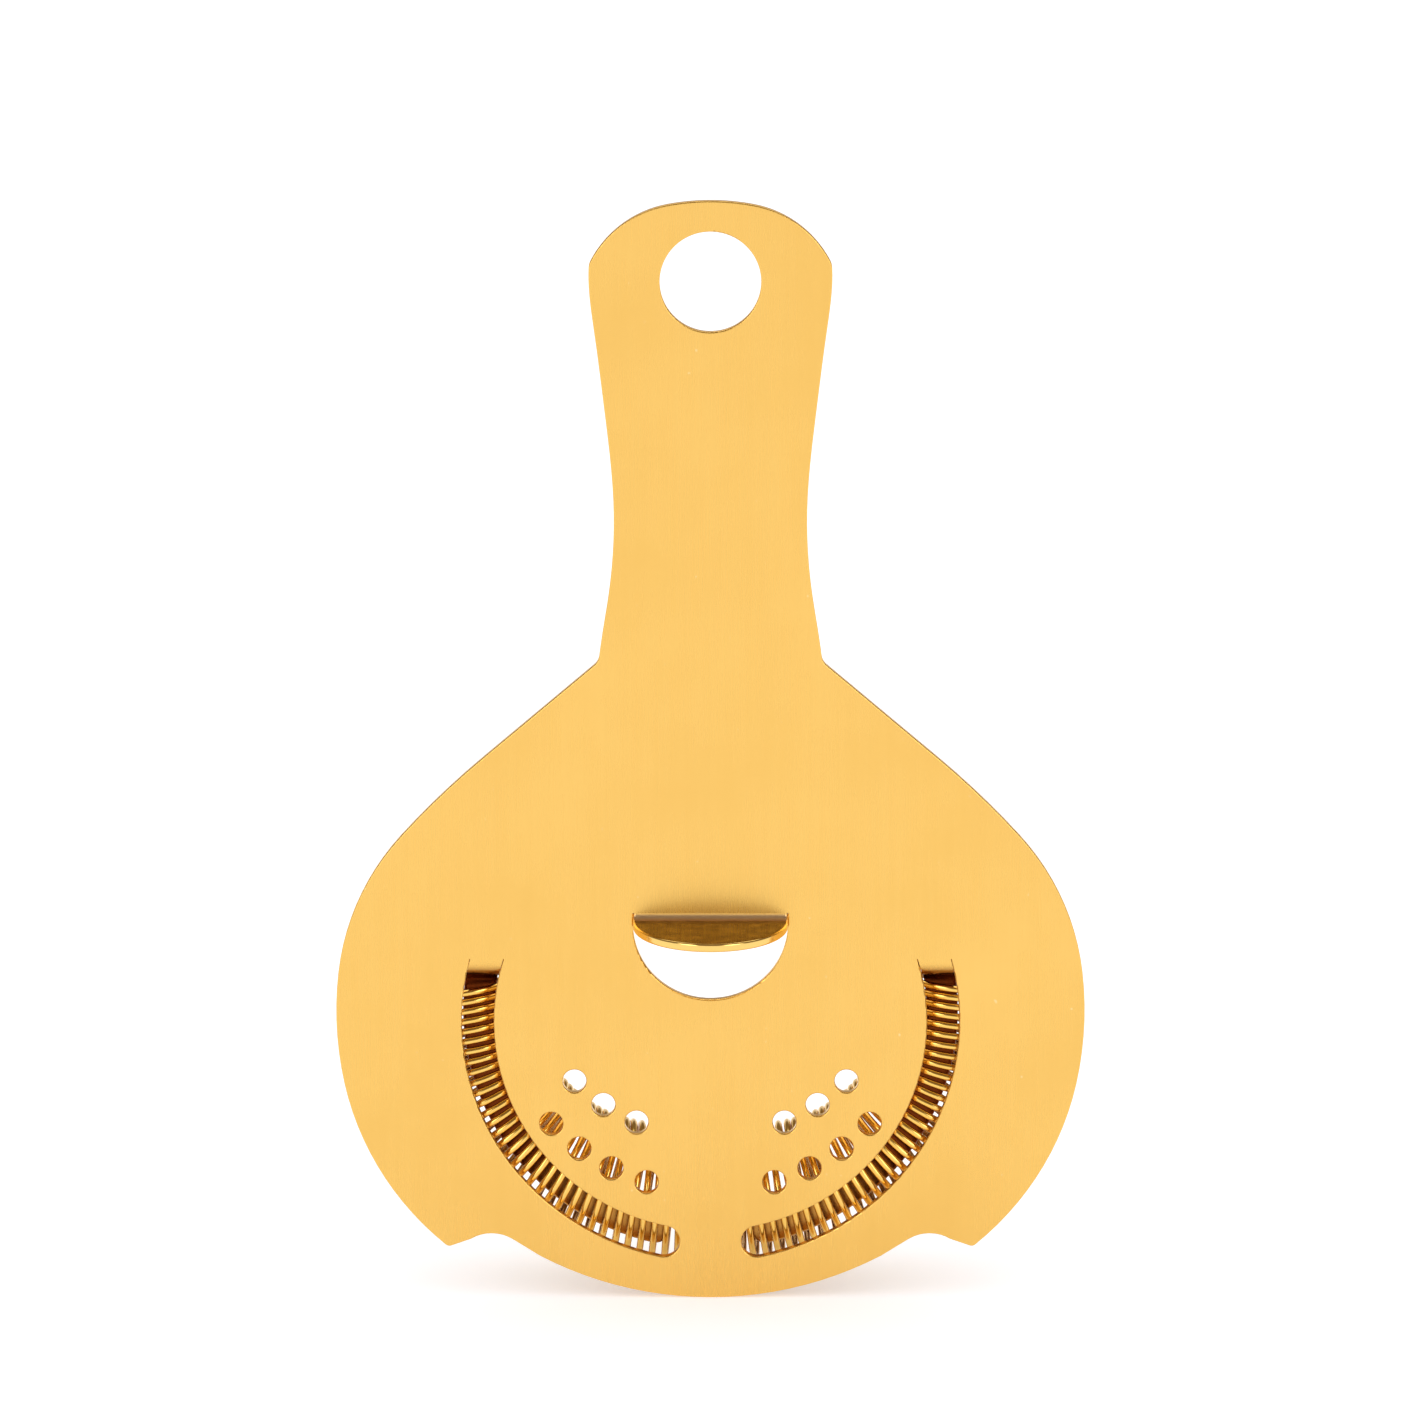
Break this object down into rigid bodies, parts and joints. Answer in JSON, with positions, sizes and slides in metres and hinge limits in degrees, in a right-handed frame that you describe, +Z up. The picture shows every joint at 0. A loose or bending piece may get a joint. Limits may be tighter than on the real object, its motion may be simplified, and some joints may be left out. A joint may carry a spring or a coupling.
{
  "type": "hawthorne strainer",
  "caption": "Flat cocktail strainer: a stamped plate with handle, finger tab, arc slots and drain holes, and a coil spring threaded on its prongs.",
  "frame": {"origin": "centre of the two arc slots, on the plate's back face, which rests on the rim of a mixing tin", "axes": "+Z up the handle, +Y out of the back of the plate towards the spring, -Y out of the front where the finger tab is, +X to the right seen from the front"},
  "size_m": [0.098, 0.031, 0.1463],
  "materials": {
    "satin_gold": "satin gold plating with fine vertical brushing",
    "polished_gold": "bright gold plating"
  },
  "bodies": {
    "plate": {"handle": "satin_gold", "head": "satin_gold", "finger_tab": "satin_gold", "left_prong": "satin_gold", "right_prong": "satin_gold"},
    "spring_front": {"spring_front": "polished_gold"},
    "spring_left_leg": {"spring_left_leg": "polished_gold"},
    "spring_right_leg": {"spring_right_leg": "polished_gold"}
  },
  "joints": [
    {"name": "spring_flex", "type": "slide", "parent": "plate", "child": "spring_front", "axis": [0, 0, -1], "range_m": [0, 0.0032], "stiffness_N_per_m": 400},
    {"name": "left_leg_squeeze", "type": "slide", "parent": "spring_front", "child": "spring_left_leg", "axis": [0.6, 0, 0.8], "range_m": [0, 0.004]},
    {"name": "right_leg_squeeze", "type": "slide", "parent": "spring_front", "child": "spring_right_leg", "axis": [-0.6, 0, 0.8], "range_m": [0, 0.004]}
  ],
  "couplings": [
    {"joint": "left_leg_squeeze", "follows": "spring_flex", "ratio": 1.25},
    {"joint": "right_leg_squeeze", "follows": "spring_flex", "ratio": 1.25}
  ]
}
